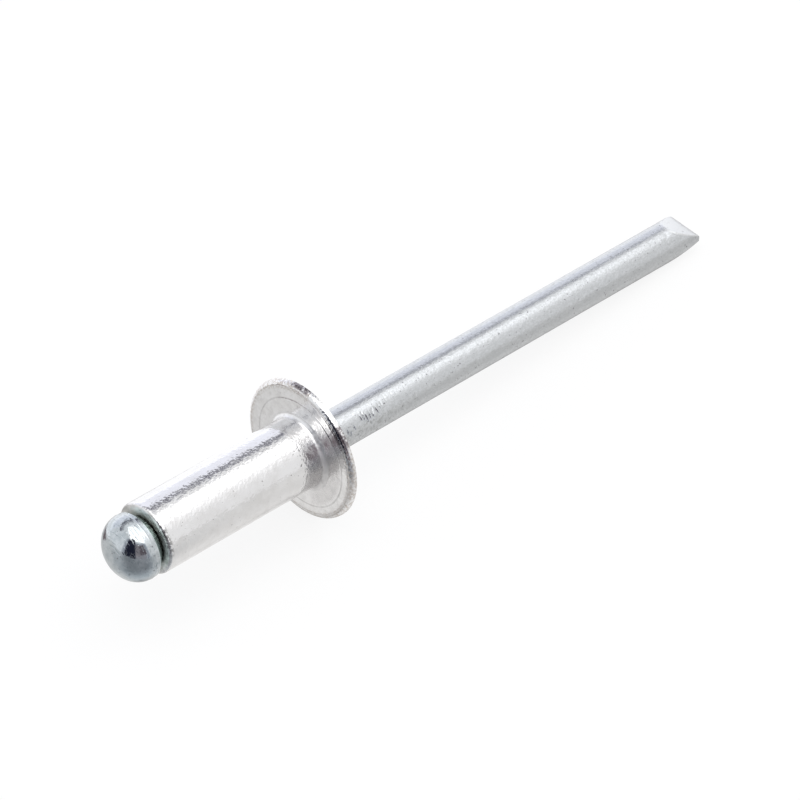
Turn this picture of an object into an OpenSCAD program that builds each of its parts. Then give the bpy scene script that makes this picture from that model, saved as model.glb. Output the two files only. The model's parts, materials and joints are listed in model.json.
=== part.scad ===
// Open-end blind rivet with a domed flange, unset, lying as it comes to rest on a table.
// Lengths are millimetres and angles are degrees. Each piece is drawn upright on the rivet's
// own axis: the flange's underside is at height zero, the blind end is below it and the tail
// of the mandrel is above it. lay_down() then puts both pieces on the table together, with
// the side that was drawn towards +X on top.

/* [Body] */
// Outer diameter of the shank that goes through the sheets
body_d = 4; // [3.6:0.1:4.8]
// Length of the shank, from the flange's underside to the blind end
body_len = 10.6; // [6:0.2:16]
// Radius of the rounded outer edge at the blind end
end_round = 0.18; // [0.08:0.02:0.3]
// Radius of the fillet where the shank grows into the flange
neck_round = 0.25; // [0.1:0.05:0.4]
// Radial clearance between the mandrel and the bore
bore_gap = 0.03; // [0.01:0.01:0.06]

/* [Flange] */
// Diameter of the flange
flange_d = 8; // [7.4:0.1:9]
// Height of the flange at its middle
flange_h = 1; // [0.9:0.05:1.4]
// Height of the flange at its rim
rim_h = 0.37; // [0.32:0.01:0.44]
// Radius of the rounded edge under the rim
rim_round = 0.28; // [0.2:0.02:0.3]
// Diameter at which the dome starts to fall away round the mandrel
crown_d = 2.8; // [2.6:0.1:3.4]

/* [Mandrel head] */
// Diameter of the head, a little less than the body so that it can be drawn in
head_d = 3.67; // [3.2:0.01:3.8]
// Height of the dome, from its widest place to its top
dome_h = 1.46; // [1.1:0.02:1.8]
// Height of the straight band round the head
band_h = 0.25; // [0.1:0.05:0.4]
// Height of the cone under the head
cone_h = 0.54; // [0.3:0.02:0.7]
// Diameter of the flat ring that bears on the blind end
seat_d = 2.7; // [2.5:0.05:2.9]
// How far the cold-formed head sits off the mandrel's axis
head_shift = 0.07; // [0:0.01:0.1]
// Which way it sits off, turning from the side that lies on top
head_shift_turn = 127; // [-180:1:180]

/* [Mandrel shank] */
// Diameter of the wire
mandrel_d = 2.25; // [2.1:0.01:2.35]
// Length of wire that stands out of the flange, for the tool's jaws
mandrel_out = 28.5; // [24:0.5:36]
// Height of the weak neck above the blind end
neck_up = 1.8; // [1.2:0.1:3]
// Depth of each of the two nicks that make the weak neck
nick_deep = 0.3; // [0.1:0.05:0.4]
// Angle between the two walls of a nick
nick_angle = 80; // [60:5:90]
// Depth of the rolled groove that the flange's bore is pinched into
groove_deep = 0.06; // [0.04:0.01:0.08]
// Radius of the groove's curved floor
groove_round = 1; // [0.9:0.05:1.1]
// How far the middle of the groove is below the top of the flange
groove_down = 0.35; // [0.35:0.01:0.42]

/* [Pinch-cut tail] */
// Angle of the upper flat to the wire
upper_angle = 24; // [20:1:26]
// Angle of the lower flat to the wire
lower_angle = 18.3; // [15:0.1:24]
// Length of the rounded nose between the upper flat and the edge
nose_len = 0.6; // [0.4:0.05:0.7]
// Height above the wire's middle at which the rounded nose starts
nose_h = 0.5; // [0.4:0.05:0.6]
// Height of the cutting edge above the wire's middle
edge_up = 0.05; // [0:0.01:0.08]
// Radius of the bowed cutting edge, seen from above
edge_bow = 2.7; // [2:0.1:5]

/* [Hidden] */
$fn = 128;
cut = 1; // how far a cutting shape runs past what it cuts

// Radii and heights that both pieces share
body_r = body_d / 2;
flange_r = flange_d / 2;
mandrel_r = mandrel_d / 2;
bore_r = mandrel_r + bore_gap;
blind_z = -body_len;
tail_z = flange_h + mandrel_out;

// The dome on the flange is a ball that meets the crown and the top of the rim
crown_r = crown_d / 2;
dome_z = (flange_r^2 + rim_h^2 - crown_r^2 - flange_h^2) / (2 * (rim_h - flange_h));
dome_r = norm([crown_r, flange_h - dome_z]);

// The groove in the mandrel and the lip that is pinched into it share one centre
groove_z = flange_h - groove_down;
groove_x = mandrel_r + groove_round - groove_deep;

// The head, from its seat downwards
head_r = head_d / 2;
seat_r = seat_d / 2;
band_top = blind_z - cone_h;
band_low = band_top - band_h;
head_top = band_low - dome_h;
head_off = head_shift * [cos(head_shift_turn), sin(head_shift_turn)];

// Where the two flats of the tail leave the round of the wire
upper_z = tail_z - nose_len - (mandrel_r - nose_h) / tan(upper_angle);
lower_z = tail_z - (mandrel_r + edge_up) / tan(lower_angle);

// The nose is an arc that leaves the upper flat smoothly and ends at the edge
nose_turn = 2 * (atan2(nose_h - edge_up, nose_len) - upper_angle);
nose_r = norm([nose_h - edge_up, nose_len]) / (2 * sin(nose_turn / 2));
nose_steps = 8; // short straight lines that draw the arc

// The rivet lies on the upper edge of its flange's rim and on the start of the lower flat
rest_tilt = atan2(flange_r - mandrel_r, lower_z - rim_h);
rest_up = flange_r * cos(rest_tilt) + rim_h * sin(rest_tilt);

// The middle between the top of the head and the tail is over the origin
head_x = band_low * cos(rest_tilt) + head_off[0] * sin(rest_tilt)
    - norm([head_r * sin(rest_tilt), dome_h * cos(rest_tilt)]);
tail_x = tail_z * cos(rest_tilt) + edge_up * sin(rest_tilt);
rest_x = -(head_x + tail_x) / 2;

// Puts what is drawn on the rivet's axis on the table, tail along +X
module lay_down() {
    translate([rest_x, 0, rest_up]) rotate([0, -90 - rest_tilt, 180]) children();
}

// A rectangle in a half-outline, from one radius and height to another
module slab(r_from, r_to, z_from, z_to) {
    translate([r_from, z_from]) square([r_to - r_from, z_to - z_from]);
}

// A disc in a half-outline
module disc(x, z, r) {
    translate([x, z]) circle(r);
}

// Half-outline of the shank, with its outer edge rounded at the blind end
module shank_outline() {
    slab(0, body_r, blind_z + end_round, cut / 2);
    slab(0, body_r - end_round, blind_z, blind_z + 2 * end_round);
    disc(body_r - end_round, blind_z + end_round, end_round);
}

// Half-outline of the fillet between the shank and the underside of the flange
module neck_outline() {
    difference() {
        slab(0, body_r + neck_round, -neck_round, cut / 2);
        disc(body_r + neck_round, -neck_round, neck_round);
    }
}

// Half-outline of the flange: flat below, rounded under the rim and domed on top
module flange_outline() {
    intersection() {
        disc(0, dome_z, dome_r);
        union() {
            slab(0, flange_r - rim_round, 0, flange_h);
            disc(flange_r - rim_round, rim_round, rim_round);
            slab(flange_r - 2 * rim_round, flange_r, rim_round, flange_h);
        }
    }
}

// Half-outline of the lip that keeps the mandrel in, with the bore's clearance all round it
module lip_outline() {
    intersection() {
        disc(groove_x, groove_z, groove_round - bore_gap);
        slab(0, bore_r + bore_gap, groove_z - groove_down, flange_h);
    }
}

module rivet_body() {
    color("gainsboro") lay_down() rotate_extrude() {
        difference() {
            union() {
                shank_outline();
                neck_outline();
                flange_outline();
            }
            slab(-cut, bore_r, blind_z - cut, flange_h + cut);
        }
        lip_outline();
    }
}

// Half-outline of the head: flat seat, cone, band and a dome that is part of an ellipse
module head_outline() {
    polygon([[0, blind_z], [seat_r, blind_z], [head_r, band_top], [head_r, band_low], [0, band_low]]);
    intersection() {
        translate([0, band_low]) scale([1, dome_h / head_r]) circle(head_r);
        slab(0, head_r + cut, head_top - cut, band_low);
    }
}

// Side outline of the wire with the pinch-cut wedge at its tail; the right side is on top
module wire_side() {
    turns = [for (i = [0:nose_steps]) upper_angle + nose_turn * i / nose_steps];
    middle = [nose_h, tail_z - nose_len] - nose_r * [cos(upper_angle), sin(upper_angle)];
    nose = [for (t = turns) middle + nose_r * [cos(t), sin(t)]];
    above = [mandrel_r, upper_z];
    below = [-mandrel_r, lower_z];
    polygon(concat(
        [above + [cut, -cut / tan(upper_angle)], above],
        nose,
        [below, below + [-cut, -cut / tan(lower_angle)]],
        [[-mandrel_r - cut, blind_z - cut], [mandrel_r + cut, blind_z - cut]]
    ));
}

// The round wire with its tail pinched off: two flats, a blunt nose and a bowed edge
module wire() {
    intersection() {
        translate([0, 0, blind_z]) cylinder(h = tail_z - blind_z, r = mandrel_r);
        rotate([90, 0, 0]) linear_extrude(mandrel_d + 2 * cut, center = true) wire_side();
        union() {
            translate([0, 0, tail_z - edge_bow]) rotate([0, 90, 0])
                cylinder(h = mandrel_d + 2 * cut, r = edge_bow, center = true);
            translate([-mandrel_d, -mandrel_d, blind_z])
                cube([2 * mandrel_d, 2 * mandrel_d, tail_z - edge_bow - blind_z]);
        }
    }
}

// The groove that the lip is pinched into
module grip_groove() {
    rotate_extrude() disc(groove_x, groove_z, groove_round);
}

// Two V nicks from opposite sides, which leave the weak neck that snaps
module break_nicks() {
    half = (nick_deep + cut) * tan(nick_angle / 2);
    for (side = [-1, 1])
        translate([side * (mandrel_r - nick_deep), 0, blind_z + neck_up]) rotate([90, 0, 0])
            linear_extrude(mandrel_d + 2 * cut, center = true)
                polygon([[0, 0], [side * (nick_deep + cut), half], [side * (nick_deep + cut), -half]]);
}

module mandrel() {
    color("lightsteelblue") lay_down() difference() {
        union() {
            wire();
            translate(head_off) rotate_extrude() head_outline();
        }
        grip_groove();
        break_nicks();
    }
}

rivet_body();
mandrel();
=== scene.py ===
# %% [markdown]
# # A blind rivet on a white table
#
# A blind rivet is two pieces of metal: a soft aluminium sleeve with a domed flange, and a
# steel nail through it whose head bears on the sleeve's blind end. Both are bare metal, so
# nearly everything that the eye reads as their colour is a mirror image of the room. The
# script therefore spends its effort on three things: surfaces that are truly round, metal
# finishes with their small faults, and a room of soft panels for the metal to mirror.
#
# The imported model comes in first, as the fixed frame that everything is measured from.

# %% Load the frame
import json
import math
import bmesh
import bpy
import numpy as np
from mathutils import Matrix


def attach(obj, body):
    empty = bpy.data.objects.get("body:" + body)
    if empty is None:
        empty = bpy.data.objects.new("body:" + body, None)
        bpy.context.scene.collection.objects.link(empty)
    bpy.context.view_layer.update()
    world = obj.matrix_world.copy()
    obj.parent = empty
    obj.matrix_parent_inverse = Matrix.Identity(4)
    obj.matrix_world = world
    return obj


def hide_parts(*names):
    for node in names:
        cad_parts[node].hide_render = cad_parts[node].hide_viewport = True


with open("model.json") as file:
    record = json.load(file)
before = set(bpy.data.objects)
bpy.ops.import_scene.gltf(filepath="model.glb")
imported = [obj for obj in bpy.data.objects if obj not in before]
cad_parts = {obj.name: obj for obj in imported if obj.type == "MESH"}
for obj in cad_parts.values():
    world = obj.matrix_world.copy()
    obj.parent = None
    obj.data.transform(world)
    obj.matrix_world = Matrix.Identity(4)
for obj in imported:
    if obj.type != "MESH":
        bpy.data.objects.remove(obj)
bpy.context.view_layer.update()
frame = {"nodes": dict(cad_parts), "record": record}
mounts = {mount["name"]: mount for mount in frame["record"]["mounts"]}
MM = 0.001
DEGREES = 180 / math.pi
print("nodes", sorted(frame["nodes"]), "mounts", sorted(mounts))

# %% [markdown]
# ## The rivet's own axes
#
# The rivet lies on the rim of its flange and on its tail, so its axis leans a few degrees.
# The record states that axis at its mounts. Reading it from there keeps the dressed pieces
# on the solids. Every shape below is worked out in millimetres along this axis, where zero
# is the flange's underside, the blind end is negative and the tail is positive.

# %% The axis, the side that lies on top, and the side that faces the camera
axis = np.array(mounts["mandrel_stem"]["axis"])
top = np.array((-axis[2], 0.0, axis[0]))
side = np.cross(axis, top)
shank_middle = np.array(mounts["shank"]["pos_m"])
seat_point = np.array(mounts["flange_seat"]["pos_m"])
underside = shank_middle + axis * ((seat_point - shank_middle) @ axis)
lean = math.asin(-axis[2])
print(f"lean {math.degrees(lean):.2f} degrees, underside at {np.round(underside / MM, 3)} mm")


def in_place(toward_top, toward_side, along):
    """underside + toward_top * top + toward_side * side + along * axis, from mm to metres."""
    local = np.stack((toward_top, toward_side, along), axis=-1) * MM
    return underside + local @ np.array((top, side, axis))


# %% [markdown]
# ## Outlines
#
# Both pieces were formed between round tools, so half an outline, carried once round the
# axis, gives almost all of each. An outline is built from straight lines and arcs, each
# with as many points as its finish needs. Bending a plain cylinder's points by hand would
# lose the true radii, and those radii shape every highlight on bright metal.

# %% Lines and arcs as arrays of radius and height
SLEEVE_R, BORE_R = mounts["shank"]["dims"]["r_mm"], 1.155
STEM_R = mounts["mandrel_stem"]["dims"]["r_mm"]
BLIND_Z = -10.6
TURNS = 192


def line(start, end, steps):
    """start + (end - start) * t, with t even from 0 up to, but not including, 1."""
    t = np.arange(steps)[:, None] / steps
    return np.array(start) + (np.array(end) - np.array(start)) * t


def arc(centre, radii, first, last, steps):
    """centre + radii * (cos, sin) of an angle that goes evenly from first towards last."""
    angle = np.radians(first + (last - first) * np.arange(steps) / steps)
    return np.array(centre) + np.stack((np.cos(angle), np.sin(angle)), axis=-1) * radii


def sweep(outline, turns=TURNS):
    """Radius, angle and height of an outline carried round: one row a point, one column a turn."""
    angle = 2 * np.pi * np.arange(turns) / turns
    radius = np.repeat(outline[:, :1], turns, axis=1)
    height = np.repeat(outline[:, 1:], turns, axis=1)
    return radius, np.repeat(angle[None, :], len(outline), axis=0), height


# %% [markdown]
# ## From a grid of points to a closed piece
#
# A grid of points becomes a mesh by joining each point to its right and lower neighbours.
# The last column joins the first, which closes the seam. An outline that comes back to its
# start, like the sleeve's, also joins its last row to its first. At a pole all the points
# of a row are one point, so equal points are merged and the slivers there vanish. The sign
# of the enclosed volume says whether the faces look out, and a wrong one is turned round.

# %% Turn a grid into a mesh object
SHARP = math.radians(32)


def make_piece(name, points, ring_shaped):
    """Quads between neighbours of a grid of points, closed round and, if asked, end to end."""
    rows, turns = points.shape[:2]
    index = np.arange(rows * turns).reshape(rows, turns)
    here = index if ring_shaped else index[:-1]
    below = np.roll(index, -1, axis=0) if ring_shaped else index[1:]
    quads = np.stack((here, np.roll(here, -1, 1), np.roll(below, -1, 1), below), -1)
    quads = quads.reshape(-1, 4)
    flat = points.reshape(-1, 3)
    a, b, c, d = (flat[quads[:, k]] for k in range(4))
    six_volumes = (a * np.cross(b, c)).sum() + (a * np.cross(c, d)).sum()
    if six_volumes < 0:
        quads = quads[:, ::-1]
    mesh = bpy.data.meshes.new(name)
    mesh.from_pydata(flat, [], quads.tolist())
    mesh.validate()
    merge_equal_points(mesh)
    mesh.shade_smooth()
    mesh.set_sharp_from_angle(angle=SHARP)
    piece = bpy.data.objects.new(name, mesh)
    bpy.context.scene.collection.objects.link(piece)
    print(name, len(mesh.polygons), "faces,", f"{abs(six_volumes) / 6 / MM**3:.1f} mm3")
    return piece


def merge_equal_points(mesh, apart=1e-8):
    """Points closer than 10 nanometres become one, which closes poles and seams."""
    work = bmesh.new()
    work.from_mesh(mesh)
    bmesh.ops.remove_doubles(work, verts=work.verts, dist=apart)
    bmesh.ops.dissolve_degenerate(work, dist=apart, edges=work.edges)
    work.to_mesh(mesh)
    work.free()


# %% [markdown]
# ## The sleeve
#
# The sleeve is cold-headed from aluminium wire. Its shank has a small round at the blind
# end and a fillet under the flange. The flange is flat below, round at the rim and domed on
# its outer face. The bore is pinched to a lip inside the flange. The outline runs from the
# bore's blind end outwards, up, over and back down. The last number of each line or arc is
# its count of steps.
#
# The die left two shallow rings in the flat. The inner one is a little off centre, and the
# one next to the rim fades out on one side. They are pressed into the surface itself, since
# a ring that is only painted would not bend the light.

# %% The sleeve's outline and surface
END_ROUND, NECK_ROUND = 0.18, 0.25
FLANGE_R, FLANGE_H, RIM_H, RIM_ROUND, CROWN_R = 4.0, 1.0, 0.37, 0.28, 1.4
GROOVE_Z, GROOVE_ROUND, GROOVE_DEEP, GAP = 0.65, 1.0, 0.06, 0.03
INNER_RING_R, INNER_RING_OFF = 3.15, 0.10
# A ring has a radius, a shift off centre, a width, a depth, and how far one side of it fades.
DIE_RINGS = ((INNER_RING_R, INNER_RING_OFF, 0.035, 0.012, 0.0), (3.69, 0.0, 0.04, 0.030, 0.8))
FAINT_TURN = math.radians(-60)

dome_z = (FLANGE_R**2 + RIM_H**2 - CROWN_R**2 - FLANGE_H**2) / (2 * (RIM_H - FLANGE_H))
dome_r = math.hypot(CROWN_R, FLANGE_H - dome_z)
rim_angle = math.degrees(math.atan2(RIM_H - dome_z, FLANGE_R))
crown_angle = math.degrees(math.atan2(FLANGE_H - dome_z, CROWN_R))
lip_centre = STEM_R + GROOVE_ROUND - GROOVE_DEEP
lip_r = GROOVE_ROUND - GAP
lip_turn = math.degrees(math.acos((lip_centre - BORE_R) / lip_r))

sleeve_outline = np.concatenate((
    line((BORE_R, BLIND_Z), (SLEEVE_R - END_ROUND, BLIND_Z), 14),
    arc((SLEEVE_R - END_ROUND, BLIND_Z + END_ROUND), END_ROUND, -90, 0, 14),
    line((SLEEVE_R, BLIND_Z + END_ROUND), (SLEEVE_R, -NECK_ROUND), 170),
    arc((SLEEVE_R + NECK_ROUND, -NECK_ROUND), NECK_ROUND, 180, 90, 16),
    line((SLEEVE_R + NECK_ROUND, 0), (FLANGE_R - RIM_ROUND, 0), 90),
    arc((FLANGE_R - RIM_ROUND, RIM_ROUND), RIM_ROUND, -90, 0, 18),
    line((FLANGE_R, RIM_ROUND), (FLANGE_R, RIM_H), 4),
    arc((0, dome_z), dome_r, rim_angle, crown_angle, 50),
    line((CROWN_R, FLANGE_H), (BORE_R, FLANGE_H), 6),
    arc((lip_centre, GROOVE_Z), lip_r, 180 - lip_turn, 180 + lip_turn, 12),
    line((BORE_R, GROOVE_Z - lip_r * math.sin(math.radians(lip_turn))), (BORE_R, BLIND_Z), 30),
))

radius, angle, height = sweep(sleeve_outline)
on_underside = (height == 0) & (radius > SLEEVE_R)
toward_faint = np.cos(angle - FAINT_TURN)
for ring_r, ring_off, ring_wide, ring_deep, uneven in DIE_RINGS:
    ring_deep = ring_deep * (1 - uneven * (0.5 + 0.5 * toward_faint))
    from_ring = radius - ring_r + ring_off * toward_faint
    height = height + on_underside * ring_deep * np.exp(-((from_ring / ring_wide) ** 2))
sleeve = make_piece(
    "sleeve", in_place(radius * np.cos(angle), radius * np.sin(angle), height), ring_shaped=True)

# %% [markdown]
# ## The nail's head and stem
#
# The nail is made from steel wire. Its head is a half ellipsoid on a short straight band,
# with a cone below it down to the flat ring that bears on the sleeve. Between head and tail
# the stem is plain, but for the rolled groove inside the flange and two nicks in the bore
# where it will snap. The rows lie close together where the stem has tool marks.

# %% Outlines of the head and the stem
HEAD_R, DOME_H, BAND_H, CONE_H, SEAT_R = 1.835, 1.46, 0.25, 0.54, 1.35
NECK_UP, NICK_ROWS = 1.8, 0.3
MARKS_FROM, MARKS_TO, TAIL_START = 2.0, 8.0, 25.5

band_top = BLIND_Z - CONE_H
band_low = band_top - BAND_H
groove_half = math.sqrt(GROOVE_ROUND**2 - (GROOVE_ROUND - GROOVE_DEEP) ** 2)
groove_turn = math.degrees(math.asin(groove_half / GROOVE_ROUND))
nick_z = BLIND_Z + NECK_UP

head_outline = np.concatenate((
    arc((0, band_low), (HEAD_R, DOME_H), -90, -12, 44),
    arc((0, band_low), (HEAD_R, DOME_H), -12, 0, 12),
    line((HEAD_R, band_low), (HEAD_R, band_top), 12),
    line((HEAD_R, band_top), (SEAT_R, BLIND_Z), 10),
))
stem_outline = np.concatenate((
    line((STEM_R, BLIND_Z), (STEM_R, nick_z - NICK_ROWS), 4),
    line((STEM_R, nick_z - NICK_ROWS), (STEM_R, nick_z + NICK_ROWS), 12),
    line((STEM_R, nick_z + NICK_ROWS), (STEM_R, GROOVE_Z - groove_half), 10),
    arc((lip_centre, GROOVE_Z), GROOVE_ROUND, 180 + groove_turn, 180 - groove_turn, 10),
    line((STEM_R, GROOVE_Z + groove_half), (STEM_R, MARKS_FROM), 10),
    line((STEM_R, MARKS_FROM), (STEM_R, MARKS_TO), 240),
    line((STEM_R, MARKS_TO), (STEM_R, TAIL_START), 80),
))
print("nail outlines", len(head_outline), "and", len(stem_outline), "points")

# %% [markdown]
# ## Marks of tools and handling
#
# The jaws of a tool have nicked the stem next to the flange, and handling has left a few
# small dents. All of these are real depth, taken off the radius, because bright metal shows
# every slope. A nick is deepest in its middle and throws up a low burr beside it, and the
# nicks far from the flange are fainter.

# %% The depth of each mark
# A jaw mark has a place along the stem, a middle in degrees of turn, half a length, a slant.
JAW_MARKS = np.array((
    (2.50, 62, 0.30, 0.10), (2.66, 70, 0.32, -0.05), (2.98, 58, 0.22, 0.15), (3.05, 93, 0.26, 0.2),
    (3.22, 84, 0.16, -0.1), (3.56, 44, 0.26, 0.1), (3.76, 43, 0.36, -0.1), (3.93, 50, 0.36, 0.05),
    (4.15, 48, 0.30, -0.15), (4.14, 70, 0.16, 0.3), (2.72, 97, 0.30, 0.1), (2.36, 88, 0.26, -0.1),
    (4.35, 50, 0.24, 0.1), (4.45, 41, 0.20, -0.2),
    (4.68, 45, 0.30, 0.2), (4.93, 42, 0.26, 0.05), (5.13, 37, 0.16, 0.1), (5.50, 29, 0.34, -0.05),
    (5.72, 27, 0.20, 0.15), (5.99, 29, 0.30, 0.2), (6.25, 30, 0.14, -0.1), (6.54, 27, 0.22, 0.1),
    (6.91, 26, 0.20, -0.1), (7.31, 24, 0.18, 0.1), (7.60, 24, 0.15, 0.0)))
JAW_WIDE, JAW_DEEP, BURR_SHARE = 0.045, 0.036, 0.15
FAINT_FROM, FAINT_OVER, FAINT_SHARE = 4.7, 0.9, 0.9
# A dent has a place along the stem, a place in degrees of turn, a radius and a depth.
DENTS = np.array((
    (25.70, 96, 0.12, 0.022), (25.95, 84, 0.09, 0.016), (26.45, 87, 0.12, 0.022),
    (26.90, 39, 0.18, 0.014), (27.12, 24, 0.14, 0.010), (24.60, 92, 0.09, 0.014),
    (6.60, 88, 0.10, 0.016), (7.40, 62, 0.09, 0.012), (5.20, 75, 0.09, 0.012),
    (3.60, 96, 0.10, 0.016), (2.95, 104, 0.11, 0.016), (3.30, 110, 0.10, 0.014),
    (4.05, 101, 0.09, 0.012), (4.60, 92, 0.08, 0.012)))


def handling_marks(along, turn):
    """Depth of the tool's short cross cuts and of small round dents, at a place on the stem."""
    deep = np.zeros(np.broadcast(along, turn).shape)
    for start, middle, half, slant in JAW_MARKS:
        round_it = (turn - math.radians(middle)) * STEM_R
        across_cut = along - start - slant * round_it
        strength = 1 - FAINT_SHARE * np.clip((start - FAINT_FROM) / FAINT_OVER, 0, 1)
        cut = JAW_DEEP * strength * np.clip(1 - (round_it / half) ** 2, 0, 1)
        deep += cut * np.exp(-((across_cut / JAW_WIDE) ** 2))
        deep -= BURR_SHARE * cut * np.exp(-(((across_cut - 2 * JAW_WIDE) / JAW_WIDE) ** 2))
    for start, middle, wide, dent_deep in DENTS:
        round_it = (turn - math.radians(middle)) * STEM_R
        deep += dent_deep * np.exp(-((along - start) ** 2 + round_it**2) / wide**2)
    return deep


print(len(JAW_MARKS), "jaw marks,", len(DENTS), "dents")

# %% [markdown]
# ## The pinched tail
#
# The tail is where the wire was pinched off: two flats that meet in a blunt, bowed edge.
# The stem's circle is kept all the way and each point is only lowered on to the flats. So
# the columns of the grid stay in line and the creases come out clean.

# %% The two flats of the tail
TAIL_Z, UPPER_ANGLE, LOWER_ANGLE = 29.5, math.radians(24), math.radians(18.3)
NOSE_LEN, NOSE_H, EDGE_UP = 0.6, 0.5, 0.05


def softer(a, b, width):
    """The smaller of a and b, with the corner between them rounded over about width."""
    h = np.clip(0.5 + 0.5 * (b - a) / width, 0, 1)
    return b + (a - b) * h - width * h * (1 - h)


def upper_flat(along):
    """Height of the upper flat and its rounded nose over the axis, at a place along it."""
    turn = 2 * (math.atan2(NOSE_H - EDGE_UP, NOSE_LEN) - UPPER_ANGLE)
    nose_r = math.hypot(NOSE_H - EDGE_UP, NOSE_LEN) / (2 * math.sin(turn / 2))
    centre_up = NOSE_H - nose_r * math.cos(UPPER_ANGLE)
    centre_z = TAIL_Z - NOSE_LEN - nose_r * math.sin(UPPER_ANGLE)
    slope = NOSE_H + (TAIL_Z - NOSE_LEN - along) * math.tan(UPPER_ANGLE)
    nose = centre_up + np.sqrt(np.maximum(nose_r**2 - (along - centre_z) ** 2, 0))
    return np.where(along < TAIL_Z - NOSE_LEN, slope, nose)


def lower_flat(along):
    """Depth of the lower flat under the axis: a straight slope that ends at the edge."""
    return (TAIL_Z - along) * math.tan(LOWER_ANGLE) - EDGE_UP


print("flats up to", TAIL_Z, "mm from the flange")

# %% [markdown]
# ## The nail in one grid
#
# Head, stem and tail are stacked into one grid of points, which makes the nail one closed
# surface. A low ridge runs round the head where its dies met, and cold forming left the head
# a hair off the stem's axis. Each column of the tail ends on the bowed edge, and a last few
# rows close the narrow end face.

# %% Stack the head, the stem and the tail
NAIL_TURNS, TAIL_ROWS, END_ROWS = 160, 131, 4
RIDGE_WIDE, RIDGE_HIGH, RIDGE_FROM = 0.035, 0.014, 0.9
HEAD_SHIFT, HEAD_SHIFT_TURN = 0.07, math.radians(127)
NICK_DEEP, NICK_SLOPE = 0.3, math.tan(math.radians(40))
EDGE_BOW, CREASE = 2.7, 0.012

head_radius, head_angle, head_z = sweep(head_outline, NAIL_TURNS)
ridge = RIDGE_HIGH * np.exp(-(((head_z - band_low) / RIDGE_WIDE) ** 2))
head_radius = head_radius + np.where(head_radius > RIDGE_FROM * HEAD_R, ridge, 0)
stem_radius, stem_angle, stem_z = sweep(stem_outline, NAIL_TURNS)
stem_radius = stem_radius - handling_marks(stem_z, stem_angle)
head_up = head_radius * np.cos(head_angle) + HEAD_SHIFT * math.cos(HEAD_SHIFT_TURN)
head_side = head_radius * np.sin(head_angle) + HEAD_SHIFT * math.sin(HEAD_SHIFT_TURN)
stem_up = stem_radius * np.cos(stem_angle)
stem_side = stem_radius * np.sin(stem_angle)

nick_floor = STEM_R - NICK_DEEP + np.abs(stem_z - nick_z) / NICK_SLOPE
stem_up = np.clip(stem_up, -nick_floor, nick_floor)

turn_row = stem_angle[0]
edge_side = STEM_R * np.sin(turn_row)
edge_z = TAIL_Z - EDGE_BOW + np.sqrt(EDGE_BOW**2 - edge_side**2)
step = np.linspace(0, 1, TAIL_ROWS)[:, None]
tail_z = TAIL_START + (edge_z - TAIL_START) * step
tail_radius = STEM_R - handling_marks(tail_z, turn_row + 0 * step)
tail_up = tail_radius * np.cos(turn_row)
tail_side = tail_radius * np.sin(turn_row)
tail_up = softer(tail_up, upper_flat(tail_z), CREASE)
tail_up = -softer(-tail_up, lower_flat(tail_z), CREASE)

end_up = tail_up[-1]
mirrored = np.roll(end_up[::-1], 1 + NAIL_TURNS // 2)
close = np.linspace(0, 1, 1 + END_ROWS)[1:, None]
end_rows_up = end_up + ((end_up + mirrored) / 2 - end_up) * close
end_rows_z = edge_z + 0 * close
end_rows_side = edge_side + 0 * close

nail_points = in_place(
    np.concatenate((head_up, stem_up, tail_up, end_rows_up)),
    np.concatenate((head_side, stem_side, tail_side, end_rows_side)),
    np.concatenate((head_z, stem_z, tail_z, end_rows_z)))
nail = make_piece("nail", nail_points, ring_shaped=False)

# %% [markdown]
# ## Sums on shader sockets
#
# The finishes below are sums and products of noise. Written as nodes, each sum takes four
# lines; written as expressions, each takes one. The class wraps one output socket, and its
# operators add the Math node that does the sum. The reflected forms let a plain number
# stand first, as in 1 - mask. Every other kind of node comes from its one method, node().
# Finishes are then painted in layers: each is a mask and the colour that shows through it.

# %% A socket that can be reckoned with
class Signal:
    """One output of a shader tree, with arithmetic, and node() for every other node."""

    def __init__(self, tree, socket=None):
        self.tree, self.socket = tree, socket

    def node(self, kind, settings=None, links=None, output=0):
        """A new node: its settings first, then the value or link of each named input."""
        made = self.tree.nodes.new(kind)
        for key, value in (settings or {}).items():
            if key == "stops":
                while len(made.color_ramp.elements) < len(value):
                    made.color_ramp.elements.new(0.5)
                for stop, (place, colour) in zip(made.color_ramp.elements, value):
                    stop.position, stop.color = place, (*colour, 1)
            else:
                setattr(made, key, value)
        for key, value in (links or {}).items():
            named = [s for s in made.inputs if key in (s.identifier, s.name)]
            target = made.inputs[key] if isinstance(key, int) else named[0]
            if isinstance(value, Signal):
                self.tree.links.new(value.socket, target)
            else:
                target.default_value = value
        found = made.outputs[output] if made.outputs else None
        return Signal(self.tree, found)

    def maths(self, operation, *values):
        """A Math node on this signal and the values, in that order."""
        links = dict(enumerate((self, *values)))
        return self.node("ShaderNodeMath", {"operation": operation}, links)

    def __add__(self, other):
        return self.maths("ADD", other)

    def __sub__(self, other):
        return self.maths("SUBTRACT", other)

    def __rsub__(self, other):
        return self.maths("MULTIPLY_ADD", -1.0, other)

    def __mul__(self, other):
        return self.maths("MULTIPLY", other)

    def __truediv__(self, other):
        return self.maths("DIVIDE", other)

    def __neg__(self):
        return self.maths("MULTIPLY", -1.0)

    __radd__, __rmul__ = __add__, __mul__

    def rise(self, low, high, first=0.0, last=1.0):
        """A smooth climb from first to last as this signal goes from low to high."""
        return self.node(
            "ShaderNodeMapRange", {"interpolation_type": "SMOOTHSTEP"},
            {"Value": self, "From Min": low, "From Max": high, "To Min": first, "To Max": last})

    def mix(self, before, after):
        """The colour before where this signal is 0 and after where it is 1."""
        return self.node(
            "ShaderNodeMix", {"data_type": "RGBA"},
            {"Factor_Float": self, "A_Color": before, "B_Color": after}, output=2)


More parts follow.
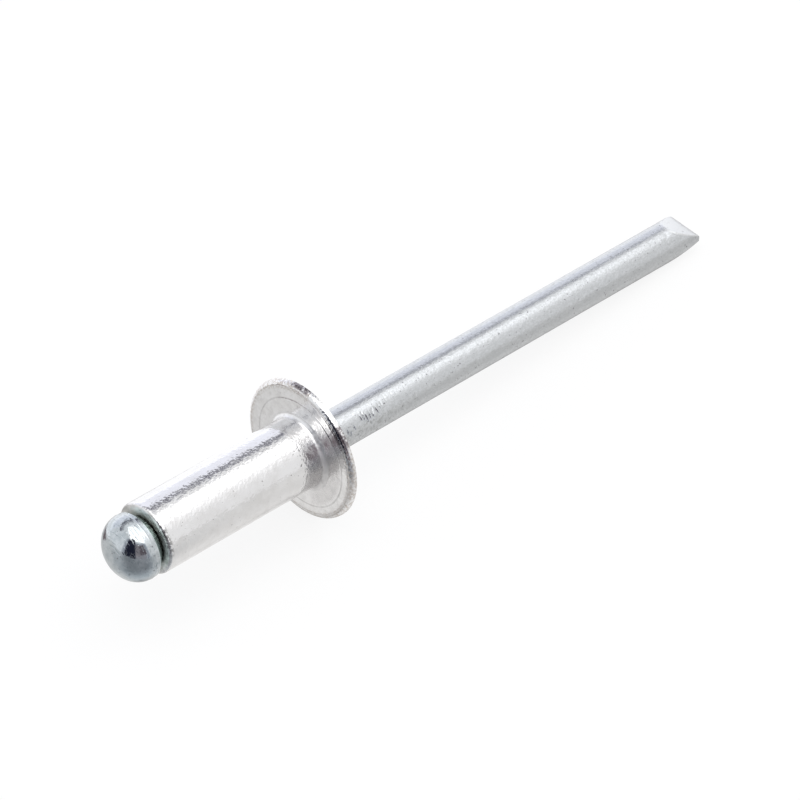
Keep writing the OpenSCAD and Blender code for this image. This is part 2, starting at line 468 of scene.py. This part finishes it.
def parts(tree, vector, count=3):
    """The X, Y and Z of a vector, or as many of them as are asked for."""
    return [tree.node("ShaderNodeSeparateXYZ", {}, {"Vector": vector}, output=k)
            for k in range(count)]


def new_material(name):
    """An empty material and a Signal to build its tree from."""
    material = bpy.data.materials.new(name)
    material.use_nodes = True
    material.node_tree.nodes.clear()
    return material, Signal(material.node_tree)


def colour(red, green, blue):
    """A colour socket's four numbers."""
    return red, green, blue, 1.0


def painted(base, *layers):
    """The base colour with layers of (mask, colour) laid over it, each over the last."""
    for mask, paint in layers:
        base = mask.mix(base, colour(*paint))
    return base


# %% [markdown]
# ## Patterns that lie along the rivet
#
# Drawn wire has lines along it, and rolling and tumbling leave specks and shallow dents all
# over. Each pattern reads Object coordinates, so it is fixed to the metal and as large as
# stated. A Mapping node first moves the pattern's origin to the flange and turns it by the
# lean, so that its X runs along the rivet. Stretching X then gives drawing lines.

# %% Coordinates and noises in millimetres
def rivet_coordinates(tree):
    """Object coordinates in millimetres, with X along the rivet and zero at the underside."""
    places = tree.node("ShaderNodeTexCoord", output=3)
    moved = tree.node(
        "ShaderNodeVectorMath", {"operation": "SUBTRACT"}, {0: places, 1: tuple(underside)})
    return tree.node(
        "ShaderNodeMapping", {"vector_type": "POINT"},
        {"Vector": moved, "Rotation": (0, -lean, 0), "Scale": (1 / MM, 1 / MM, 1 / MM)})


def noise(tree, places, size, stretch=(1, 1, 1), detail=3.0, rough=0.55, seed=0.0):
    """Noise whose lumps are about size millimetres, longer along X where stretch says so."""
    scaled = tree.node(
        "ShaderNodeVectorMath", {"operation": "MULTIPLY_ADD"},
        {0: places, 1: tuple(1 / (size * s) for s in stretch), 2: (seed, seed, seed)})
    return tree.node(
        "ShaderNodeTexNoise", {"noise_dimensions": "3D"},
        {"Vector": scaled, "Scale": 1.0, "Detail": detail, "Roughness": rough})


def metal(tree, base, roughness, bumps):
    """A metal shader: a base colour, a roughness, and bumps of (signal, height in mm)."""
    normal = None
    for pattern, high in bumps:
        links = {"Height": pattern, "Distance": high * MM, "Strength": 1.0}
        if normal is not None:
            links["Normal"] = normal
        normal = tree.node("ShaderNodeBump", {}, links)
    shader = tree.node(
        "ShaderNodeBsdfPrincipled", {},
        {"Base Color": base, "Metallic": 1.0, "Roughness": roughness, "Normal": normal})
    tree.node("ShaderNodeOutputMaterial", {}, {"Surface": shader})


# %% [markdown]
# ## Bright aluminium
#
# The sleeve was tumbled bright. Its surface is a fair mirror that is broken into grains of
# about a fifth of a millimetre, which fray the edges of what it mirrors. The blind face, the
# fillet and blots in the corner under the flange are rougher. The rim is specked with a
# warmer tone and scuffed dark in two places, the flat under the flange is faintly mottled,
# and the edge at the blind end is worn on one side. Some tones are painted light: the neck
# is painted lighter on one side, which pales its dark reflection, and the corner under the
# flange and the blind face round the nail's seat are painted darker as shade. Each of these
# is a mask: a product of soft steps in distance along the rivet, in radius and in turn, and
# often a noise.

# %% Where the sleeve's finish changes
aluminium, tree = new_material("bright_aluminium")
places = rivet_coordinates(tree)
along, beside, above = parts(tree, places)
radial = (beside * beside + above * above).maths("SQRT")
round_turn = (beside * -1).maths("ARCTAN2", above) * DEGREES

rim = radial.rise(3.48, FLANGE_R - RIM_ROUND)
fresh_edge = round_turn.rise(2, 6) * round_turn.rise(44, 54, 1, 0)
upper_scuff = round_turn.rise(-17, -14) * round_turn.rise(0, 3, 1, 0) * radial.rise(3.86, 3.92)
lower_scuff = round_turn.rise(33, 37) * round_turn.rise(50, 57, 1, 0)

blind = along.rise(BLIND_Z + 0.02, BLIND_Z + 0.16, 1, 0)
# Painted shade: the blind face is darkened round the nail's seat, next to the head.
painted_seat_shade = blind * radial.rise(1.40, 1.78, 1, 0)
worn_end = (along.rise(BLIND_Z + END_ROUND, BLIND_Z + 0.34, 1, 0) * radial.rise(1.80, 1.88)
            * round_turn.rise(22, 38) * round_turn.rise(74, 90, 1, 0))

near_flange = along.rise(-3.2, -1.5)
fillet = along.rise(-0.34, -0.2) * radial.rise(2.26, 2.36, 1, 0)
by_neck = (radial.rise(2.9, 3.3, 1, 0) * along.rise(0.1, 0.2, 1, 0)
           * round_turn.rise(140, 170, 1, 0))
# One side of the neck: rougher, with blots, and painted lighter to pale the dark reflection there.
neck = by_neck * along.rise(-1.35, -0.95) * round_turn.rise(18, 30)
# Painted shade: the corner under the flange, past the neck's lighter side, is painted darker.
painted_corner_shade = by_neck * along.rise(-1.3, -0.95) * round_turn.rise(56, 68)

faint_side = (above * math.cos(FAINT_TURN) - beside * math.sin(FAINT_TURN)) / radial
away_from_faint = 0.5 - 0.5 * faint_side
rim_foot = (radial.rise(3.64, 3.70) * radial.rise(3.76, 3.84, 1, 0) * along.rise(0.2, 0.3, 1, 0)
            * away_from_faint.rise(0.15, 0.6, 0.2, 1.0))
die_face = along.rise(-0.06, -0.01) * along.rise(0.02, 0.08, 1, 0)
off_ring = radial - (INNER_RING_R - INNER_RING_OFF) - 2 * INNER_RING_OFF * away_from_faint
die_line = die_face * off_ring.rise(-0.07, -0.015) * off_ring.rise(0.015, 0.07, 1, 0)
print("masks of the sleeve", len(tree.tree.nodes), "nodes")

# %% [markdown]
# ### Noises and layers of the sleeve
#
# A mask alone has a clean edge that no worn part has, so most are broken up by a noise. The
# base colour is then painted in layers, from the evenest to the smallest fault, with the
# painted light and shade of the neck, the corner and the seat among them. The bumps go the
# same way, from long swells down to single specks.

# %% The sleeve's finish
specked = noise(tree, places, 0.13, detail=2, seed=61).rise(0.42, 0.58)
scuffed = rim * (upper_scuff + lower_scuff) * (
    noise(tree, places, 0.20, detail=2, rough=0.6, seed=53).rise(0.36, 0.47))
blots = neck * noise(tree, places, 0.5, detail=3, rough=0.6, seed=91).rise(0.38, 0.60)
pressed = (die_face * radial.rise(2.25, 2.5)
           * noise(tree, places, 0.42, detail=4, rough=0.65, seed=71).rise(0.42, 0.66))
end_edge = worn_end * noise(tree, places, 0.14, detail=2, seed=83).rise(0.44, 0.52)
grain = noise(tree, places, 0.18, detail=1, rough=0.5)
fine = noise(tree, places, 0.07, detail=2, seed=31)
swell = noise(tree, places, 1.3, stretch=(1.8, 1, 1), detail=2, seed=7)
lines = noise(tree, places, 0.05, stretch=(30, 1, 1), detail=2, seed=3)
specks = noise(tree, places, 0.16, detail=2, seed=21).rise(0.69, 0.77)
stain = noise(tree, places, 0.7, detail=4, rough=0.6, seed=13).rise(0.35, 0.75)
base = stain.mix(colour(0.81, 0.807, 0.81), colour(0.75, 0.743, 0.74))
base = painted(
    base,
    # Painted light: the neck lighter on one side, and painted shade in the corner under the
    # flange.
    (neck * (1 - painted_corner_shade), (0.93, 0.925, 0.925)),
    (painted_corner_shade, (0.71, 0.70, 0.70)),
    (rim * specked * (1 - fresh_edge), (0.60, 0.56, 0.53)),
    (rim_foot * 0.7, (0.52, 0.50, 0.48)),
    (scuffed * 0.85, (0.20, 0.175, 0.185)),
    (blind * stain, (0.48, 0.48, 0.46)),
    # painted shade round the nail's seat, next to the head
    (painted_seat_shade * 0.75, (0.22, 0.205, 0.18)),
    (end_edge * 0.75, (0.24, 0.235, 0.23)),
    (pressed * 0.7, (0.68, 0.67, 0.67)),
    (die_line * (0.35 + 0.4 * stain), (0.47, 0.46, 0.46)),
    (specks, (0.40, 0.39, 0.38)))
roughness = (0.065 + 0.05 * pressed + 0.04 * stain + 0.12 * specks + 0.26 * blind + 0.05 * rim
             + 0.22 * fillet + 0.08 * neck + 0.17 * blots)
metal(tree, base, roughness, (
    (swell, 0.006), (lines, 0.0004), (grain * (1 - 0.4 * near_flange), 0.018), (fine, 0.0035),
    (grain * rim, 0.016), (grain * blind, 0.020), (specks, -0.006)))
print("bright_aluminium", len(tree.tree.nodes), "nodes")

# %% [markdown]
# ## Zinc-plated steel
#
# The nail is plated with zinc, which is greyer than aluminium and slightly blue. The head
# was struck in a polished die, so it mirrors almost cleanly, apart from hair scratches, pale
# rubbed marks and a green tint on its cone. The stem is drawn wire under the same plate. It
# blurs what it mirrors, and has a mottle, fine lines along it, small specks, and a darker
# patch where the jaws gripped it. The upper flat of the tail was sheared last and is bare,
# brighter steel.

# %% The nail's finish
zinc, tree = new_material("zinc_plated_steel")
places = rivet_coordinates(tree)
along, beside, above = parts(tree, places)
round_turn = (beside * -1).maths("ARCTAN2", above) * DEGREES
gripped = (along.rise(2.0, 2.6) * along.rise(4.5, 9.0, 1, 0)
           * round_turn.rise(35, 75) * round_turn.rise(145, 175, 1, 0)
           * noise(tree, places, 0.17, detail=2, rough=0.6, seed=37).rise(0.48, 0.60))
slope_up = (TAIL_Z - NOSE_LEN - along) * math.tan(UPPER_ANGLE) + NOSE_H
sheared = (above - slope_up).rise(-0.12, -0.02)
head = along.rise(BLIND_Z - 0.1, BLIND_Z + 0.4, 1, 0)
cone = along.rise(BLIND_Z - 0.6, BLIND_Z - 0.5) * head
grain = noise(tree, places, 0.15, stretch=(1.5, 1, 1), detail=2, rough=0.5)
mottle = noise(tree, places, 0.11, stretch=(1.6, 1, 1), detail=3, rough=0.6, seed=29)
mottle = mottle.rise(0.30, 0.70)
lines = noise(tree, places, 0.06, stretch=(40, 1, 1), detail=3, seed=5)
swell = noise(tree, places, 0.9, stretch=(2.2, 1, 1), detail=2, seed=17)
specks = noise(tree, places, 0.13, detail=2, seed=11).rise(0.655, 0.72)
stain = noise(tree, places, 0.45, stretch=(1.5, 1, 1), detail=4, rough=0.6, seed=2)
stain = stain.rise(0.35, 0.72)
scratches = noise(tree, places, 0.06, stretch=(1, 14, 5), detail=1, seed=41).rise(0.60, 0.70)
rubbed = noise(tree, places, 0.10, stretch=(1, 4, 2), detail=2, seed=97).rise(0.60, 0.70)
base = stain.mix(colour(0.642, 0.657, 0.674), colour(0.607, 0.622, 0.639))
base = painted(
    base,
    (mottle * 0.6, (0.51, 0.525, 0.53)),
    (head * 0.5, (0.56, 0.615, 0.64)),
    (head * stain, (0.445, 0.485, 0.505)),
    (head * scratches * 0.6, (0.32, 0.36, 0.38)),
    (head * rubbed * 0.5, (0.70, 0.74, 0.77)),
    (cone, (0.62, 0.72, 0.70)),
    (gripped * 0.7, (0.43, 0.44, 0.44)),
    (sheared, (0.74, 0.75, 0.755)),
    (specks, (0.27, 0.27, 0.28)))
roughness = 0.205 + 0.06 * mottle + 0.10 * specks - 0.15 * head + 0.10 * cone + 0.08 * sheared
smooth = 1 - 0.85 * head
metal(tree, base, roughness, (
    (swell * smooth, 0.003), (lines * smooth, 0.0024), (grain * (1 - 0.92 * head), 0.014),
    (specks * (1 - 0.6 * head), -0.005), (scratches * head, -0.004),
    (rubbed * head, 0.003)))
print("zinc_plated_steel", len(tree.tree.nodes), "nodes")

# %% [markdown]
# ## Dress the nodes
#
# The imported solids are right, but their meshes are made of a few dozen flat strips, which
# show as stripes in bright metal. So each solid is hidden, and the fine surface of the same
# form made above stands for it, rides on the root body and takes the finish made for it.

# %% Ride, replace and give each its finish
for piece, node, finish in ((sleeve, "rivet_body", aluminium), (nail, "mandrel", zinc)):
    piece.data.materials.append(finish)
    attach(piece, "root")
    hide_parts(node)
    print(piece.name, "stands for", node)

# %% [markdown]
# ## The camera
#
# A long lens a short way off, looking down on the table across the flange. Three numbers
# aim it: the turn and the height of the view, and the distance. Two more put a known point
# of the rivet on the pixel where the photograph shows it.

# %% Aim the camera by a known point
LENS_MM, SENSOR_MM, FRAME_PX, CLIP_START = 180.0, 36.0, 800, 0.01
VIEW_TURN, VIEW_HEIGHT = math.radians(43.28), math.radians(46.25)
VIEW_DISTANCE = 207.97
MARK_ALONG, MARK_PX = 0.167, (301.09, 448.90)

right = np.array((math.cos(VIEW_TURN), -math.sin(VIEW_TURN), 0.0))
ahead = np.array((math.sin(VIEW_TURN), math.cos(VIEW_TURN), 0.0))
back = -ahead * math.cos(VIEW_HEIGHT) + np.array((0, 0, math.sin(VIEW_HEIGHT)))
up = np.cross(back, right)
px_mm = VIEW_DISTANCE * SENSOR_MM / LENS_MM / FRAME_PX
middle_px = (FRAME_PX - 1) / 2
mark = underside / MM + axis * MARK_ALONG
eye = (mark + back * VIEW_DISTANCE - right * (MARK_PX[0] - middle_px) * px_mm
       - up * (middle_px - MARK_PX[1]) * px_mm) * MM
camera_data = bpy.data.cameras.new("camera")
camera_data.lens, camera_data.sensor_width = LENS_MM, SENSOR_MM
camera_data.clip_start = CLIP_START
camera = bpy.data.objects.new("camera", camera_data)
bpy.context.scene.collection.objects.link(camera)
turned = np.eye(4)
turned[:3, 0], turned[:3, 1], turned[:3, 2], turned[:3, 3] = right, up, back, eye
camera.matrix_world = Matrix(turned.tolist())
bpy.context.scene.camera = camera
print("eye at", np.round(eye / MM, 1), "mm")

# %% [markdown]
# ## The table
#
# The rivet lies on a smooth white sheet. A few wide, soft zones of it are brighter or darker
# in the metal alone, as the reflections in the photograph are. They are fixed on the table,
# measured from the point under the blind end: brighter beyond the rivet and close to the
# shank, darker on the near side, and one dark, warm patch at the left that the head mirrors.

# %% The sheet and its zones
TABLE_HALF = 1.5
table_mesh = bpy.data.meshes.new("table")
corners = [(x * TABLE_HALF, y * TABLE_HALF, 0.0) for x, y in ((-1, -1), (1, -1), (1, 1), (-1, 1))]
table_mesh.from_pydata(corners, [], [(0, 1, 2, 3)])
table = bpy.data.objects.new("table", table_mesh)
bpy.context.scene.collection.objects.link(table)
white, tree = new_material("table_white")
head_foot = underside + axis * BLIND_Z * MM
table_places = tree.node("ShaderNodeTexCoord", output=3)
from_head = tree.node(
    "ShaderNodeVectorMath", {"operation": "SUBTRACT"}, {0: table_places, 1: tuple(head_foot)})
head_x, head_y = (part * (1 / MM) for part in parts(tree, from_head, 2))
nearer = head_x * float(-ahead[0]) + head_y * float(-ahead[1])
beside = head_x * float(right[0]) + head_y * float(right[1])
shade_turn = beside.maths("ARCTAN2", nearer) * DEGREES
shade = shade_turn.rise(-115, -25) * shade_turn.rise(20, 100, 1, 0) * nearer.rise(-0.5, 4.0)
behind_left = (
    beside.rise(-19, -17) * beside.rise(-9.5, -8.5, 1, 0) * nearer.rise(-12, -10)
    * nearer.rise(-5.5, -4.5, 1, 0))
by_stem = beside.rise(10, 15) * nearer.rise(-9, -6, 1, 0)
by_shank = beside.rise(9, 25) * nearer.rise(-9, -6)
under_shank = (head_y.rise(-2.4, -1.2) * head_y.rise(0.8, 2.0, 1, 0)
               * head_x.rise(0, 1.5) * head_x.rise(9.5, 10.5, 1, 0))
beyond = nearer.rise(-13, -10.5, 1, 0) * head_y.rise(2.5, 4.5)
print("table", 2 * TABLE_HALF, "m across")

# %% [markdown]
# ### What the camera and the metal see of the sheet
#
# For the camera most of the sheet's brightness is a fixed white and the rest is real light,
# so it shows white with a soft, pale shadow. The metal mirrors the same sheet in another
# mix: more real light, and in it a blurred mirror of the room, because a smooth sheet shines
# at a low angle.

# %% A white table that keeps the shadow
is_camera = tree.node("ShaderNodeLightPath", output=0)
is_glossy = tree.node("ShaderNodeLightPath", output=3)
mirrored_only = 1 - is_camera
shaded = is_camera.mix(colour(0.60, 0.595, 0.585), colour(0.95, 0.95, 0.95))
shaded = (shade * mirrored_only).mix(shaded, colour(0.45, 0.475, 0.495))
shaded = (behind_left * mirrored_only).mix(shaded, colour(0.20, 0.15, 0.15))
diffuse = tree.node("ShaderNodeBsdfDiffuse", {}, {"Color": shaded})
gloss = tree.node(
    "ShaderNodeBsdfPrincipled", {}, {"Base Color": shaded, "Metallic": 1.0, "Roughness": 0.35})
lit = tree.node("ShaderNodeMixShader", {}, {0: is_glossy * 0.55, 1: diffuse, 2: gloss})
mirrored_glow = beyond.mix(colour(1.0, 0.992, 0.978), colour(1.42, 1.43, 1.46))
sheet_glow = is_camera.mix(mirrored_glow, colour(1.0, 1.0, 1.0))
plain_white = tree.node("ShaderNodeEmission", {}, {"Color": sheet_glow, "Strength": 1.0})
mirrored_white = (0.41 + 0.29 * beyond - 0.16 * (by_stem * (1 - beyond)) + 0.16 * by_shank
                  + 0.38 * under_shank) * (1 - shade) * (1 - behind_left)
shown = tree.node("ShaderNodeMixShader", {}, {
    0: is_camera * 0.86 + is_glossy * mirrored_white, 1: lit, 2: plain_white})
tree.node("ShaderNodeOutputMaterial", {}, {"Surface": shown})
table_mesh.materials.append(white)
print("table_white", len(tree.tree.nodes), "nodes")

# %% [markdown]
# ## The room
#
# Bright metal needs something to mirror. A plain grey sky makes it look like plaster. The
# photograph's highlights say what stood round the rivet: a white tent with a bright window
# overhead, a cool backdrop behind, a gap with a dark line between those two, and a dim side
# in front with a black opening. Each is a soft-edged patch of sky, placed by its compass
# turn and its height. The sky is part of the world, so it stays where it is when the view
# goes round.

# %% Directions in the sky, and a patch of it
world = bpy.data.worlds.new("tent")
bpy.context.scene.world = world
world.use_nodes = True
world.node_tree.nodes.clear()
sky = Signal(world.node_tree)

looking = sky.node("ShaderNodeTexCoord", output=0)
look_x, look_y, look_z = parts(sky, looking)
across = look_x * float(right[0]) + look_y * float(right[1])
away = look_x * float(ahead[0]) + look_y * float(ahead[1])
rise_deg = look_z.maths("ARCSINE") * DEGREES
back_turn = across.maths("ARCTAN2", away) * DEGREES
front_turn = (-across).maths("ARCTAN2", -away) * DEGREES


def patch(turn, left_edge, right_edge, low, high, soft):
    """1 inside a rectangle of the sky and 0 outside, with edges that are soft degrees wide."""
    half = soft / 2
    return (turn.rise(left_edge - half, left_edge + half)
            * turn.rise(right_edge - half, right_edge + half, 1, 0)
            * rise_deg.rise(low - half, low + half)
            * rise_deg.rise(high - half, high + half, 1, 0))


print("sky directions", len(sky.tree.nodes), "nodes")

# %% [markdown]
# ### The panels
#
# The panels are painted over a pale grey tent, each over the last, so a dark line can lie in
# a bright wall. The window is a rectangle on a flat ceiling, because its straight edges show
# in the head. The camera itself sees plain white.

# %% A sky of soft panels
light = sky.node("ShaderNodeRGB")
light.socket.default_value = colour(0.93, 0.93, 0.935)
right_wall = back_turn.rise(25, 50) * back_turn.rise(135, 150, 1, 0) * rise_deg.rise(22, 60)
ceiling = rise_deg.rise(54, 68)
overhead_x, overhead_y = across / look_z, away / look_z
window = (overhead_x.rise(-0.52, -0.44) * overhead_x.rise(0.55, 0.75, 1, 0)
          * overhead_y.rise(-0.70, -0.64) * overhead_y.rise(0.30, 0.45, 1, 0)
          * rise_deg.rise(20, 30))
seen = sky.node("ShaderNodeLightPath", output=0)
light = painted(
    light,
    (patch(back_turn, -132, -66, -10, 52, 14), (0.97, 0.99, 1.02)),
    (patch(back_turn, -64, 40, -20, 34, 10), (1.03, 1.05, 1.15)),
    (patch(back_turn, -64, 40, -20, 7, 12), (1.40, 1.42, 1.48)),
    (right_wall, (1.38, 1.38, 1.39)),
    (ceiling, (1.25, 1.25, 1.27)),
    (patch(back_turn, -80, 22, 48, 64, 8), (0.98, 0.99, 1.02)),
    (patch(back_turn, 32, 80, 43, 56, 8), (1.56, 1.57, 1.59)),
    (patch(back_turn, -80, 18, 35, 49, 4), (0.50, 0.505, 0.54)),
    (patch(back_turn, -80, 18, 35.5, 41, 3), (0.17, 0.17, 0.21)),
    (patch(front_turn, -46, 56, -12, 51, 8), (0.46, 0.48, 0.54)),
    (patch(front_turn, -30, 20, -20, 14, 8), (0.36, 0.35, 0.38)),
    (patch(front_turn, -8, 13, 10, 46, 6), (0.32, 0.29, 0.31)),
    (patch(front_turn, -34, -6, 13, 44, 5), (0.16, 0.13, 0.145)),
    (window, (2.1, 2.1, 2.1)),
    (patch(front_turn, 12, 48, -4, 52, 5), (0.02, 0.022, 0.04)),
    (patch(front_turn, 14, 36, 40, 60, 4), (0.03, 0.03, 0.05)),
    (seen, (1.0, 1.0, 1.0)))
glow = sky.node("ShaderNodeBackground", {}, {"Color": light, "Strength": 1.0})
sky.node("ShaderNodeOutputWorld", {}, {"Surface": glow})
print("tent", len(sky.tree.nodes), "nodes")

# %% [markdown]
# ## Finish
#
# The view transform stays plain, so a colour shows as it is written.

# %% Keep the view transform plain
bpy.context.scene.view_settings.view_transform = "Standard"
